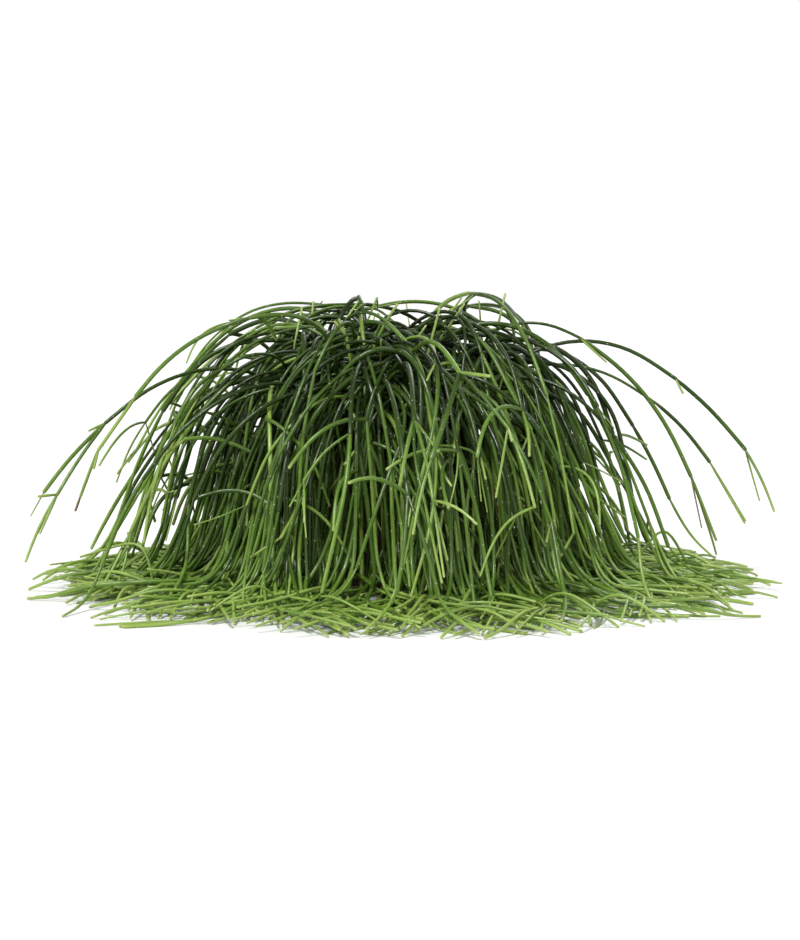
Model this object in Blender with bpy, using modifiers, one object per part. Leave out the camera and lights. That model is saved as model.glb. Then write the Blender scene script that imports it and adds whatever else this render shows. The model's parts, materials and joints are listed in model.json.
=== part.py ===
"""A mistletoe cactus in a plain plastic pot.

The pot stands on its base. Slender round stems rise from the potting mix, arch over the rim on every side, fork at
their joints, hang down to the surface that the pot stands on, and lie along it.

Units are metres and +Z is up. The origin is the centre of the underside of the pot, and -Y is the front.
"""

import math
import random

import bmesh
import bpy
from mathutils import Matrix, Vector

# The pot
POT_HEIGHT = 0.115
RIM_RADIUS = 0.065
COLLAR_HEIGHT = 0.018
COLLAR_STEP = 0.0028
BASE_RADIUS = 0.046
POT_WALL = 0.0018
POT_FLOOR = 0.0030
EDGE = 0.0012
POT_STEPS = 40
DRAIN_HOLES = 6
DRAIN_RADIUS = 0.0045
DRAIN_CIRCLE = 0.030
DRAIN_SIDES = 10

# The potting mix that fills the pot
MIX_LEVEL = 0.101
MIX_MOUND = 0.006
MIX_RELIEF = 0.0014
MIX_STEPS = 20
MIX_RINGS = (1.0, 0.75, 0.5, 0.25)
MIX_SEED = 7
GAP = 0.0004

# The stems: each spray is one stem from the mix, with all that forks from it
SPRAYS = 42
ROOT_CIRCLE = 0.042
ROOT_DEPTH = 0.014
STRAIGHT_ABOVE_MIX = 0.004
ORDERS = 4
STEM_RADIUS = (0.0023, 0.0021, 0.0019, 0.0017)
TIP_SHARE = 0.55
FACET_WIDTH = 1.25
HOLE_RADIUS = 0.0040
HOLE_SIDES = 5
STEP = 0.008
TOLERANCE = 0.0025
SUNK = 0.002
WELD = 0.00001
SEED = 4800

# How far the centre lines of two sprays keep apart, and from the pot
CLEAR = 0.0066
MARGIN = 0.0004
SAMPLE = 0.003
MOST_BENDS = 30
MOST_TRIES = 8

# The surface, and how a stem comes down on it
LYING_LEVEL = STEM_RADIUS[0] * FACET_WIDTH + 0.0006
PILE_HEIGHT = 0.045
PILE_SPREAD = 0.2
LANDING_RADIUS = (0.030, 0.065)
LEVEL_PULL = 0.10
TURN_BACK = 12.0

# How stems grow. An angle is in degrees, a sag or a swing in radians of bend per metre. What follows EDGE is added
# in proportion to how far out the stem starts, up to all of it at the outermost roots or at the crown's edge.
FIRST_LEAN = (0, 9)
EDGE_FIRST_LEAN = 30
FIRST_LENGTH = (0.096, 0.136)
EDGE_FIRST_LENGTH = -0.040
FIRST_SAG = 2.0
EDGE_FIRST_SAG = 3.0
VEER = 28
CROWN_EDGE = 0.09
ARCH_LEAN = (30, 72)
EDGE_ARCH_LEAN = 20
ARCH_FAN = 360
EDGE_ARCH_FAN = -150
ARCH_TURN = 110
EDGE_ARCH_TURN = -62
ARCH_LENGTH = (0.150, 0.200)
ARCH_SAG = (12, 22)
HANGING_LENGTH = (0.140, 0.115)
LENGTH_SHARE = (0.75, 1.2)
HANGING_SAG = (5, 12)
HANGING_FAN = (0.5, 1.0)
HANGING_VEER = 0.16
HANGING_OUTWARD = (-0.04, 0.12)
STEEP = 0.2
SWING = (0.6, 7.5)
REACH = (0.13, 0.22)
BEYOND_REACH = 0.07
FRONT_RIGHT = Vector((0.55, -0.83, 0))
FRONT_RIGHT_REACH = 0.05
FEWER_FORKS = (2, 1, 1)
FEWER_SHARE = (0.55, 0.70, 0.80)
GOLDEN_ANGLE = math.pi * (3 - math.sqrt(5))
DOWN = Vector((0, 0, -1))
UP = Vector((0, 0, 1))

POT_COLOUR = (0.115, 0.028, 0.016)
MIX_COLOUR = (0.045, 0.028, 0.018)
STEM_COLOUR = (0.085, 0.190, 0.040)


class Thicket:
    """The room that grown stems take up, as points along their centre lines, sorted into cubes of one clearance."""

    def __init__(self):
        self.cubes = {}

    def cube_of(self, point):
        return tuple(math.floor(value / CLEAR) for value in point)

    def add(self, path, owner):
        for _, _, point in samples_of(path):
            self.cubes.setdefault(self.cube_of(point), []).append((owner, point))

    def push_on(self, point, owner):
        """The shortest move that takes the point clear of the other sprays, or None where it is clear."""
        x, y, z = self.cube_of(point)
        nearest, away = CLEAR, None
        for i in (x - 1, x, x + 1):
            for j in (y - 1, y, y + 1):
                for k in (z - 1, z, z + 1):
                    for other, spot in self.cubes.get((i, j, k), ()):
                        if other != owner and (point - spot).length < nearest:
                            nearest, away = (point - spot).length, point - spot
        if away is None:
            return None
        if point.z < PILE_HEIGHT:
            away = Vector((away.x, away.y, 0)) * PILE_SPREAD + UP * (abs(away.z) + MARGIN)
        return away.normalized() * (CLEAR - nearest + MARGIN)


class Stem:
    """One length of stem, from joint to joint, with its order of branching and what forks from its end."""

    def __init__(self, path, spray, order):
        self.path = path
        self.spray = spray
        self.order = order
        self.forks = []

    @property
    def heading(self):
        return (self.path[-1] - self.path[-2]).normalized()


def samples_of(path):
    """Points every few millimetres along a path, with the leg that each is on and how far along that leg."""
    for leg in range(len(path) - 1):
        length = (path[leg + 1] - path[leg]).length
        count = max(1, math.ceil(length / SAMPLE))
        for n in range(count + 1):
            share = n / count
            yield leg, share, path[leg].lerp(path[leg + 1], share)


def radial(point):
    """The level direction from the pot's axis to the point."""
    flat = Vector((point.x, point.y, 0))
    return flat.normalized() if flat.length > 1e-6 else Vector((1, 0, 0))


def push_off_pot(point):
    """The shortest move that takes the point clear of the pot and what fills it, or None where it is clear."""
    up = POT_HEIGHT + CLEAR - point.z
    out = RIM_RADIUS + CLEAR - Vector((point.x, point.y)).length
    if up <= 0 or out <= 0:
        return None
    return Vector((0, 0, up)) if up < out else radial(point) * out


def thinned(path):
    """The fewest of the path's points that keep within the tolerance of it."""
    first, last = path[0], path[-1]
    chord = last - first
    worst, at = 0.0, 0
    for n in range(1, len(path) - 1):
        share = min(1, max(0, (path[n] - first).dot(chord) / max(chord.length_squared, 1e-12)))
        distance = (path[n] - first - chord * share).length
        if distance > worst:
            worst, at = distance, n
    if worst < TOLERANCE:
        return [first, last]
    return thinned(path[: at + 1])[:-1] + thinned(path[at:])


def grown(start, heading, length, sag, swing, reach, landing):
    """A stem's path from its joint. It bends under its own weight, comes down and lies along the surface.

    Beyond its reach it turns to one side, by the shorter way, and further out still it ends early.
    """
    path, point, heading = [start.copy()], start.copy(), heading.normalized()
    steps = round(length / STEP)
    for step in range(steps):
        heading = (heading + DOWN * sag * STEP).normalized()
        turn = swing * STEP
        height = max(0.0, point.z - LYING_LEVEL)
        if height < landing and heading.z < 0:
            cosine = 1 - height / landing
            sine = math.sqrt(1 - cosine * cosine)
            if -heading.z > sine:
                level = Vector((heading.x, heading.y, 0))
                level = (level + radial(point) * LEVEL_PULL).normalized()
                heading = level * cosine + DOWN * sine
            outward = heading.dot(radial(point))
            if Vector((point.x, point.y)).length > reach and outward > 0:
                turn = math.copysign(TURN_BACK, radial(point).cross(heading).z) * STEP
        heading = Matrix.Rotation(turn, 3, "Z") @ heading
        point = point + heading * STEP
        point.z = max(point.z, LYING_LEVEL)
        path.append(point.copy())
        if step > steps / 2 and Vector((point.x, point.y)).length > reach + BEYOND_REACH:
            break
    return thinned(path)


def bent_clear(path, owner, thicket, rooted):
    """The path with its points moved until it clears the other sprays and the pot, or None if it can't.

    A rooted path's first two points hold it in the mix, and don't move.
    """
    path = [point.copy() for point in path]
    fixed = 2 if rooted else 1
    for _ in range(MOST_BENDS):
        moves = [Vector() for _ in path]
        touching = False
        for leg, share, point in samples_of(path):
            if leg < fixed - 1:
                continue
            for push in (thicket.push_on(point, owner), None if rooted else push_off_pot(point)):
                if push is None:
                    continue
                touching = True
                for n, part in ((leg, 1 - share), (leg + 1, share)):
                    if (push * part).length > moves[n].length:
                        moves[n] = push * part
        if not touching:
            return path
        for n in range(fixed, len(path)):
            path[n] += moves[n]
            path[n].z = max(path[n].z, LYING_LEVEL)
    return None


def root_of(spray):
    """Where a spray stands in the mix: spread like the seeds of a sunflower."""
    distance = ROOT_CIRCLE * math.sqrt((spray + 0.5) / SPRAYS)
    angle = spray * GOLDEN_ANGLE
    return Vector((distance * math.cos(angle), distance * math.sin(angle), MIX_LEVEL - ROOT_DEPTH))


def turned_heading(outward, turn, lean):
    """A heading that leans from upright by one angle, to a side that is turned from straight out by the other."""
    side = Matrix.Rotation(math.radians(turn), 3, "Z") @ outward
    return side * math.sin(math.radians(lean)) + UP * math.cos(math.radians(lean))


def first_stem(spray, rng):
    """The path of a spray's own stem, from its hole in the mix to its first joint."""
    root = root_of(spray)
    above = root + UP * (ROOT_DEPTH + MIX_MOUND + STRAIGHT_ABOVE_MIX)
    edge = Vector((root.x, root.y)).length / ROOT_CIRCLE
    lean = rng.uniform(*FIRST_LEAN) + EDGE_FIRST_LEAN * edge
    heading = turned_heading(radial(root), rng.uniform(-VEER, VEER), lean)
    length = rng.uniform(*FIRST_LENGTH) + EDGE_FIRST_LENGTH * edge
    sag = FIRST_SAG + EDGE_FIRST_SAG * edge
    return [root] + grown(above, heading, length, sag, swing=0, reach=1, landing=0)


def arching_heading(outward, edge, fan, rng):
    """Where a stem heads from the crown: up and away to its own side of the joint."""
    most_turn = ARCH_TURN + EDGE_ARCH_TURN * edge
    turn = fan * (ARCH_FAN + EDGE_ARCH_FAN * edge) + rng.uniform(-most_turn, most_turn)
    return turned_heading(outward, turn, rng.uniform(*ARCH_LEAN) + EDGE_ARCH_LEAN * edge)


def hanging_heading(outward, heading, fan, rng):
    """Where a stem heads from a joint below the crown: on from its parent, and a little to one side."""
    side = heading.cross(UP)
    if side.length < STEEP:
        side = outward.cross(UP)
    sideways = fan * rng.uniform(*HANGING_FAN) + rng.uniform(-HANGING_VEER, HANGING_VEER)
    return heading + side.normalized() * sideways + outward * rng.uniform(*HANGING_OUTWARD)


def next_stem(parent, number, count, rng):
    """The path of one of the stems that fork from a parent's end."""
    joint = parent.path[-1]
    outward = radial(joint)
    fan = (number + 0.5) / count - 0.5
    if parent.order == 0:
        edge = min(1, Vector((joint.x, joint.y)).length / CROWN_EDGE)
        heading = arching_heading(outward, edge, fan, rng)
        length = rng.uniform(*ARCH_LENGTH)
        sag = rng.uniform(*ARCH_SAG)
    else:
        heading = hanging_heading(outward, parent.heading, fan, rng)
        length = HANGING_LENGTH[parent.order - 1] * rng.uniform(*LENGTH_SHARE)
        sag = rng.uniform(*HANGING_SAG)
    reach = rng.uniform(*REACH) + FRONT_RIGHT_REACH * max(0, outward.dot(FRONT_RIGHT))
    swing = math.copysign(rng.uniform(*SWING), rng.uniform(-1, 1))
    return grown(joint, heading, length, sag, swing, reach, rng.uniform(*LANDING_RADIUS))


def forks_of(stem, rng):
    """How many stems fork from a stem's end."""
    fewer = rng.random() < FEWER_SHARE[stem.order]
    return FEWER_FORKS[stem.order] + (0 if fewer else 1)


def placed(draw, owner, thicket, rooted=False):
    """The first clear path of a few draws, or None. The thicket then holds it."""
    for _ in range(MOST_TRIES):
        path = bent_clear(draw(), owner, thicket, rooted)
        if path is not None:
            thicket.add(path, owner)
            return path
    return None


def grown_plant():
    """The first stem of each spray, with all its forks. The lower orders grow first, while there is most room."""
    thicket = Thicket()
    rngs = [random.Random(SEED + spray) for spray in range(SPRAYS)]
    firsts = []
    for spray, rng in enumerate(rngs):
        path = placed(lambda: first_stem(spray, rng), spray, thicket, rooted=True)
        firsts.append(Stem(path, spray, 0))
    parents = firsts
    while parents and parents[0].order < ORDERS - 1:
        children = []
        for parent in parents:
            rng = rngs[parent.spray]
            count = forks_of(parent, rng)
            for number in range(count):
                path = placed(lambda: next_stem(parent, number, count, rng), parent.spray, thicket)
                if path is not None:
                    parent.forks.append(Stem(path, parent.spray, parent.order + 1))
            children += parent.forks
        parents = children
    return firsts


def clear_scene():
    for obj in list(bpy.data.objects):
        bpy.data.objects.remove(obj, do_unlink=True)


def new_collection(name):
    collection = bpy.data.collections.new(name)
    bpy.context.scene.collection.children.link(collection)
    return collection


def new_material(name, colour, roughness):
    material = bpy.data.materials.new(name)
    material.use_nodes = True
    shader = material.node_tree.nodes["Principled BSDF"]
    shader.inputs["Base Color"].default_value = (*colour, 1)
    shader.inputs["Roughness"].default_value = roughness
    shader.inputs["Metallic"].default_value = 0.0
    material.diffuse_color = (*colour, 1)
    return material


def finish(obj, material):
    obj.data.materials.clear()
    obj.data.materials.append(material)


def evaluated_mesh(obj):
    bpy.context.view_layer.update()
    return bpy.data.meshes.new_from_object(obj.evaluated_get(bpy.context.evaluated_depsgraph_get()))


def turned(name, profile, steps, collection):
    """An object whose profile, a list of (radius, height) down its outer side, is turned round +Z."""
    mesh = bpy.data.meshes.new(name)
    points = [(radius, 0, height) for radius, height in profile]
    mesh.from_pydata(points, [(n, n + 1) for n in range(len(points) - 1)], [])
    obj = bpy.data.objects.new(name, mesh)
    collection.objects.link(obj)
    screw = obj.modifiers.new("turn", "SCREW")
    screw.steps = screw.render_steps = steps
    screw.use_merge_vertices = True
    screw.merge_threshold = WELD
    return obj


def cylinder(name, radius, bottom, top, spot, sides, collection):
    """A closed cylinder round a vertical line, used as a cutter."""
    mesh = bpy.data.meshes.new(name)
    shape = bmesh.new()
    bmesh.ops.create_cone(
        shape, cap_ends=True, segments=sides, radius1=radius, radius2=radius, depth=top - bottom
    )
    bmesh.ops.translate(shape, vec=(spot.x, spot.y, (top + bottom) / 2), verts=shape.verts)
    shape.to_mesh(mesh)
    shape.free()
    obj = bpy.data.objects.new(name, mesh)
    obj.hide_render = True
    obj.display_type = "WIRE"
    collection.objects.link(obj)
    return obj


def cut(obj, cutters):
    boolean = obj.modifiers.new("holes", "BOOLEAN")
    boolean.operation = "DIFFERENCE"
    boolean.operand_type = "COLLECTION"
    boolean.collection = cutters
    boolean.solver = "EXACT"


def make_pot(collection):
    """A tapered pot with a thick collar round its top and drainage holes through its floor."""
    under_collar = POT_HEIGHT - COLLAR_HEIGHT
    wall_top = RIM_RADIUS - COLLAR_STEP
    outer = [
        (RIM_RADIUS - EDGE, POT_HEIGHT),
        (RIM_RADIUS, POT_HEIGHT - EDGE),
        (RIM_RADIUS - EDGE / 2, under_collar + EDGE),
        (RIM_RADIUS - EDGE, under_collar),
        (wall_top, under_collar),
        (BASE_RADIUS, EDGE * 2),
        (BASE_RADIUS - EDGE * 2, 0),
        (0, 0),
    ]
    inner = [
        (0, POT_FLOOR),
        (BASE_RADIUS - POT_WALL - EDGE, POT_FLOOR),
        (BASE_RADIUS - POT_WALL, POT_FLOOR + EDGE),
        (wall_top - POT_WALL, under_collar),
        (RIM_RADIUS - POT_WALL - EDGE, POT_HEIGHT - EDGE),
    ]
    profile = outer + inner
    pot = turned("pot", profile + profile[:1], POT_STEPS, collection)
    drains = new_collection("drain_cutters")
    for n in range(DRAIN_HOLES):
        spot = Matrix.Rotation(n * math.tau / DRAIN_HOLES, 3, "Z") @ Vector((DRAIN_CIRCLE, 0, 0))
        cylinder(f"drain_{n}", DRAIN_RADIUS, -POT_FLOOR, 2 * POT_FLOOR, spot, DRAIN_SIDES, drains)
    cut(pot, drains)
    return pot


def make_mix(collection):
    """The potting mix: it fills the pot, is heaped in the middle, and has a hole for the foot of each spray."""
    slope = (RIM_RADIUS - COLLAR_STEP - BASE_RADIUS) / (POT_HEIGHT - COLLAR_HEIGHT)
    foot = BASE_RADIUS - POT_WALL - GAP - EDGE
    edge = BASE_RADIUS + slope * (MIX_LEVEL - POT_FLOOR) - POT_WALL - 2 * GAP
    bottom = POT_FLOOR + GAP
    top = [(edge * share, MIX_LEVEL + MIX_MOUND * (1 - share**2)) for share in MIX_RINGS]
    profile = [(0, MIX_LEVEL + MIX_MOUND)] + top[::-1] + [(foot, bottom + EDGE), (foot - EDGE, bottom), (0, bottom)]
    mix = turned("potting_mix", profile, MIX_STEPS, collection)
    mesh = evaluated_mesh(mix)
    bpy.data.objects.remove(mix)
    rng = random.Random(MIX_SEED)
    for vertex in mesh.vertices:
        if vertex.co.z > MIX_LEVEL + GAP / 2:
            vertex.co.z += rng.uniform(-MIX_RELIEF, MIX_RELIEF)
    mix = bpy.data.objects.new("potting_mix", mesh)
    collection.objects.link(mix)
    holes = new_collection("root_cutters")
    for spray in range(SPRAYS):
        root = root_of(spray)
        cylinder(f"root_{spray}", HOLE_RADIUS, root.z - GAP, MIX_LEVEL + 2 * MIX_MOUND, root, HOLE_SIDES, holes)
    cut(mix, holes)
    return mix


def three_sided_profile():
    """The section that every stem's curve is bevelled with. Its three sides stand for a circle of 1 m radius."""
    curve = bpy.data.curves.new("stem_section", "CURVE")
    curve.dimensions = "2D"
    spline = curve.splines.new("POLY")
    spline.points.add(2)
    spline.use_cyclic_u = True
    for n, point in enumerate(spline.points):
        angle = n * math.tau / 3
        point.co = (FACET_WIDTH * math.cos(angle), FACET_WIDTH * math.sin(angle), 0, 1)
    section = bpy.data.objects.new("stem_section", curve)
    section.hide_render = True
    bpy.context.scene.collection.objects.link(section)
    return section


def strands_of(stem):
    """The spray from this stem on, as strands. Each runs from a fork to a tip, by the first fork at each joint."""
    strand = [(point, STEM_RADIUS[stem.order]) for point in stem.path]
    others = []
    follower = stem
    while follower.forks:
        for fork in follower.forks[1:]:
            others += strands_of(fork)
        follower = follower.forks[0]
        strand += [(point, STEM_RADIUS[follower.order]) for point in follower.path[1:]]
    tip, thick = strand[-1]
    strand[-1] = (tip, thick * TIP_SHARE)
    if stem.order > 0:
        root, thick = strand[0]
        strand.insert(0, (root - (strand[1][0] - root).normalized() * SUNK, thick))
    return [strand] + others


def strand_solid(name, strand, section, collection):
    """A strand as a closed mesh, with three sides."""
    curve = bpy.data.curves.new(name, "CURVE")
    curve.dimensions = "3D"
    curve.bevel_mode = "OBJECT"
    curve.bevel_object = section
    curve.use_fill_caps = True
    spline = curve.splines.new("POLY")
    spline.points.add(len(strand) - 1)
    for spot, (point, thick) in zip(spline.points, strand):
        spot.co = (*point, 1)
        spot.radius = thick
    tube = bpy.data.objects.new(name, curve)
    collection.objects.link(tube)
    mesh = evaluated_mesh(tube)
    bpy.data.objects.remove(tube)
    shape = bmesh.new()
    shape.from_mesh(mesh)
    bmesh.ops.remove_doubles(shape, verts=shape.verts, dist=WELD)
    bmesh.ops.recalc_face_normals(shape, faces=shape.faces)
    shape.to_mesh(mesh)
    shape.free()
    solid = bpy.data.objects.new(name, mesh)
    collection.objects.link(solid)
    return solid


def keep_largest_shell(mesh):
    """Drops what the joining leaves loose: the shell of a hollow that it sealed, or a scrap."""
    shape = bmesh.new()
    shape.from_mesh(mesh)
    shells, seen = [], set()
    for start in shape.verts:
        if start in seen:
            continue
        shell, edge = {start}, [start]
        while edge:
            for link in edge.pop().link_edges:
                for vertex in link.verts:
                    if vertex not in shell:
                        shell.add(vertex)
                        edge.append(vertex)
        seen |= shell
        shells.append(shell)
    largest = max(shells, key=len)
    bmesh.ops.delete(shape, geom=[v for v in shape.verts if v not in largest], context="VERTS")
    shape.to_mesh(mesh)
    shape.free()


def make_spray(stem, section, collection):
    """One spray: its strands, joined into one body."""
    name = f"spray_{stem.spray + 1:02d}"
    forks = new_collection("forks")
    first, *others = strands_of(stem)
    foot = strand_solid(name + "_foot", first, section, collection)
    for n, strand in enumerate(others):
        strand_solid(f"{name}_fork_{n}", strand, section, forks)
    if others:
        union = foot.modifiers.new("join", "BOOLEAN")
        union.operation = "UNION"
        union.operand_type = "COLLECTION"
        union.collection = forks
        union.solver = "MANIFOLD"
    mesh = evaluated_mesh(foot)
    keep_largest_shell(mesh)
    for obj in [foot, *forks.objects]:
        bpy.data.objects.remove(obj)
    bpy.data.collections.remove(forks)
    spray = bpy.data.objects.new(name, mesh)
    collection.objects.link(spray)
    return spray


def main():
    clear_scene()
    plant = new_collection("mistletoe_cactus")
    plastic = new_material("pot_plastic", POT_COLOUR, 0.38)
    soil = new_material("potting_mix", MIX_COLOUR, 0.95)
    green = new_material("stem_green", STEM_COLOUR, 0.45)
    section = three_sided_profile()
    for stem in grown_plant():
        finish(make_spray(stem, section, plant), green)
    finish(make_pot(plant), plastic)
    finish(make_mix(plant), soil)


main()
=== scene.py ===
"""The looks of a mistletoe cactus in a plain plastic pot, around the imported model.

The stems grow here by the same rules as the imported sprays, so that each spray's fine stems follow its solid.
More stems then grow from the same joints, until the crown is as dense as the real one.
"""

import json
import math
import random

import bmesh
import bpy
import numpy as np
from mathutils import Matrix, Vector, noise

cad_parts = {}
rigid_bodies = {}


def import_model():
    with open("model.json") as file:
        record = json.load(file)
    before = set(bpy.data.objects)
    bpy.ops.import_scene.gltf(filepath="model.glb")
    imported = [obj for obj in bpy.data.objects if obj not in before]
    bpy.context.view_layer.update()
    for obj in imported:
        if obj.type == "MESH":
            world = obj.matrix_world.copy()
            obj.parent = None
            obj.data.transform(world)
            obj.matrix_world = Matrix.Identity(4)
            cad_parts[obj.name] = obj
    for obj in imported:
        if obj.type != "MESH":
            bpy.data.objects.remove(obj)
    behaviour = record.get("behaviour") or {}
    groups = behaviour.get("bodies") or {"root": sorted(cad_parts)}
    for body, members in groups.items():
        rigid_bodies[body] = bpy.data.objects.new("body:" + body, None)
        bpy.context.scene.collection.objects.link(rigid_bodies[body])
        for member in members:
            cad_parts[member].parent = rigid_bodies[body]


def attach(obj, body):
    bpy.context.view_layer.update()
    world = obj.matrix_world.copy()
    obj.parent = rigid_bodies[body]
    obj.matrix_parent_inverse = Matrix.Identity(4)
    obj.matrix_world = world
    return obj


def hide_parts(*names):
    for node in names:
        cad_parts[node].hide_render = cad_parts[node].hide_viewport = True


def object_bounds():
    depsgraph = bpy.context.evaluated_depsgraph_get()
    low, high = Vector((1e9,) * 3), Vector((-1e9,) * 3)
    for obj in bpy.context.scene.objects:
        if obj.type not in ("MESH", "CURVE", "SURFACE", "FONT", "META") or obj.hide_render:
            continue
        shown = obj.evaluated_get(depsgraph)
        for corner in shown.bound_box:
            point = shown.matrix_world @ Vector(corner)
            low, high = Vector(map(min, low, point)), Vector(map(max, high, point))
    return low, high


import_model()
CAD_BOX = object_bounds()
UP = Vector((0, 0, 1))
DOWN = Vector((0, 0, -1))
GOLDEN_ANGLE = math.pi * (3 - math.sqrt(5))

# The pot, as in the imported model
POT_HEIGHT = 0.115
RIM_RADIUS = 0.065
COLLAR_HEIGHT = 0.018
COLLAR_STEP = 0.0028
BASE_RADIUS = 0.046
POT_WALL = 0.0018
POT_FLOOR = 0.0030
EDGE = 0.0012
DRAIN_HOLES = 6
DRAIN_RADIUS = 0.0045
DRAIN_CIRCLE = 0.030
DRAIN_SIDES = 32
POT_STEPS = 128
SHARP_ANGLE = 35
WELD = 0.00001

# The potting mix
MIX_LEVEL = 0.101
MIX_MOUND = 0.006
MIX_EDGE = 0.0592
MIX_FOOT = 0.0575
MIX_DEPTH = 0.030
MIX_FINE_RINGS = 26
MIX_FINE_STEPS = 90
MIX_RISES = ((0.0022, 90), (0.0010, 260))

# What lies on the mix: how many, the smallest and largest size, and how wide they may be for their length
CRUMBS = {
    "peat_crumbs": (900, 0.0006, 0.0018, (0.6, 1.0)),
    "bark_chips": (190, 0.0018, 0.0042, (0.35, 0.8)),
    "pale_granules": (150, 0.0008, 0.0020, (0.8, 1.0)),
}
CRUMB_EDGE = 0.057
CRUMB_PROUD = 0.3
CRUMB_SEED = 11
LUMP_UNEVEN = 0.22

# The growth of the sprays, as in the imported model
SPRAYS = 42
ROOT_CIRCLE = 0.042
ROOT_DEPTH = 0.014
STRAIGHT_ABOVE_MIX = 0.004
ORDERS = 4
SOLID_RADIUS = 0.0023
FACET_WIDTH = 1.25
STEP = 0.008
TOLERANCE = 0.0025
SEED = 4800
CLEAR = 0.0066
MARGIN = 0.0004
SAMPLE = 0.003
MOST_BENDS = 30
MOST_TRIES = 8
LYING_LEVEL = SOLID_RADIUS * FACET_WIDTH + 0.0006
PILE_HEIGHT = 0.045
PILE_SPREAD = 0.2
LANDING_RADIUS = (0.030, 0.065)
LEVEL_PULL = 0.10
TURN_BACK = 12.0
FIRST_LEAN = (0, 9)
EDGE_FIRST_LEAN = 30
FIRST_LENGTH = (0.096, 0.136)
EDGE_FIRST_LENGTH = -0.040
FIRST_SAG = 2.0
EDGE_FIRST_SAG = 3.0
VEER = 28
CROWN_EDGE = 0.09
ARCH_LEAN = (30, 72)
EDGE_ARCH_LEAN = 20
ARCH_FAN = 360
EDGE_ARCH_FAN = -150
ARCH_TURN = 110
EDGE_ARCH_TURN = -62
ARCH_LENGTH = (0.150, 0.200)
ARCH_SAG = (12, 22)
HANGING_LENGTH = (0.140, 0.115)
LENGTH_SHARE = (0.75, 1.2)
HANGING_SAG = (5, 12)
HANGING_FAN = (0.5, 1.0)
HANGING_VEER = 0.16
HANGING_OUTWARD = (-0.04, 0.12)
STEEP = 0.2
SWING = (0.6, 7.5)
REACH = (0.13, 0.22)
BEYOND_REACH = 0.07
FRONT_RIGHT = Vector((0.55, -0.83, 0))
FRONT_RIGHT_REACH = 0.05
FEWER_FORKS = (2, 1, 1)
FEWER_SHARE = (0.55, 0.70, 0.80)

# The stems that only this script grows. The number of stems at a joint is drawn from the list for its order.
ADDED_SEED = 80
ADDED_CLEAR = 0.0043
ADDED_BENDS = 5
ADDED_TRIES = 5
ROOM = Vector((0.010, 0.010, 0.014))
NEAR_JOINT = 0.012
ADDED_ROOT_OFFSET = 0.0055
ADDED_AT_JOINT = ((2, 3, 4), (0, 1, 1), (0, 0, 1))
TANGLES_AT_JOINT = (1, 1, 2, 3)
TANGLE_LEAN = (15, 80)
TANGLE_LENGTH = (0.060, 0.150)
TANGLE_SAG = (14, 30)
TANGLE_SWING = 20
CURL_SHARE = 0.40
CURL_LEAN = (42, 100)
LOWEST_CURL = 0.085
OUTLIERS = 12
OUTLIER_LEAN = (48, 78)
OUTLIER_TURN = 30
OUTLIER_LENGTH = (0.165, 0.215)
OUTLIER_SAG = (7, 10)
WISPS = 30
WISP_LEAN = (4, 50)
WISP_LENGTH = (0.030, 0.065)
WISP_SAG = 3
SHOOT_SHARE = 0.36
SHOOT_LENGTH = (0.012, 0.055)
SHOOT_LEAN = (10, 52)
SHOOT_SAG = (-12, 30)
SHOOT_SWING = 22
SHOOTS_AT_JOINT = (1, 1, 1, 1, 2)
LOWEST_SHOOT = 0.06
DRY_SHARE = 0.04

# The fine form of a stem. Youth runs from 0, old and dark, to 1, new and pale.
STEM_RADIUS = (0.00230, 0.00205, 0.00175, 0.00150)
YOUNG_RADIUS = 0.00140
THICKNESS_DRAW = (0.64, 1.12)
YOUNG_THICKNESS_DRAW = (0.45, 1.15)
SIDES = 8
RING_SPACING = 0.009
SMOOTHING = 6
NARROW_FOOT = 0.72
FOOT_LENGTH = 0.010
TIP_LENGTH = 0.035
TIP_WIDTH = 0.80
CAP_ANGLES = (30, 60)
SETTLING = 0.03
AREOLE_SPACING = (0.009, 0.016)
AREOLE_RADIUS = 0.00047
AREOLE_LENGTH = 1.3
AREOLE_HEIGHT = 0.00035
AREOLE_SUNK = 0.93
AREOLE_SIDES = 5
FORM_SEED = 5
AGE_YOUTH = (0.02, 0.15, 0.49, 0.87)
YOUTH_DRAW = 0.19
FRESH_SHARE = 0.08
FRESH_YOUTH = 0.66
SHOOT_YOUTH = 0.80
YOUTH_RISE = 0.30
TIP_YOUTH = 0.18
LIVE_TONE = 0.95

# Colours of the finishes
OLD_GREEN = (0.012, 0.026, 0.002)
LEAF_GREEN = (0.035, 0.080, 0.004)
FRESH_GREEN = (0.128, 0.242, 0.026)
PALE_GREEN = (0.290, 0.420, 0.085)
TIP_GREEN = (0.42, 0.48, 0.15)
BLUE_GREEN = (0.030, 0.064, 0.012)
DRY_STRAW = (0.22, 0.17, 0.08)
JOINT_BROWN = (0.13, 0.12, 0.045)
WOOL = ((0.42, 0.43, 0.28), (0.68, 0.68, 0.52))
POT_BROWN = (0.085, 0.017, 0.009)
DRY_DUST = (0.16, 0.11, 0.07)
PEAT = ((0.010, 0.007, 0.004), (0.038, 0.023, 0.014))
BARK = ((0.045, 0.022, 0.011), (0.120, 0.066, 0.036))
GRANULES = ((0.42, 0.41, 0.38), (0.70, 0.69, 0.66))
FLOOR_TONES = ((0.93, 0.93, 0.93), (0.96, 0.96, 0.96))

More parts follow.
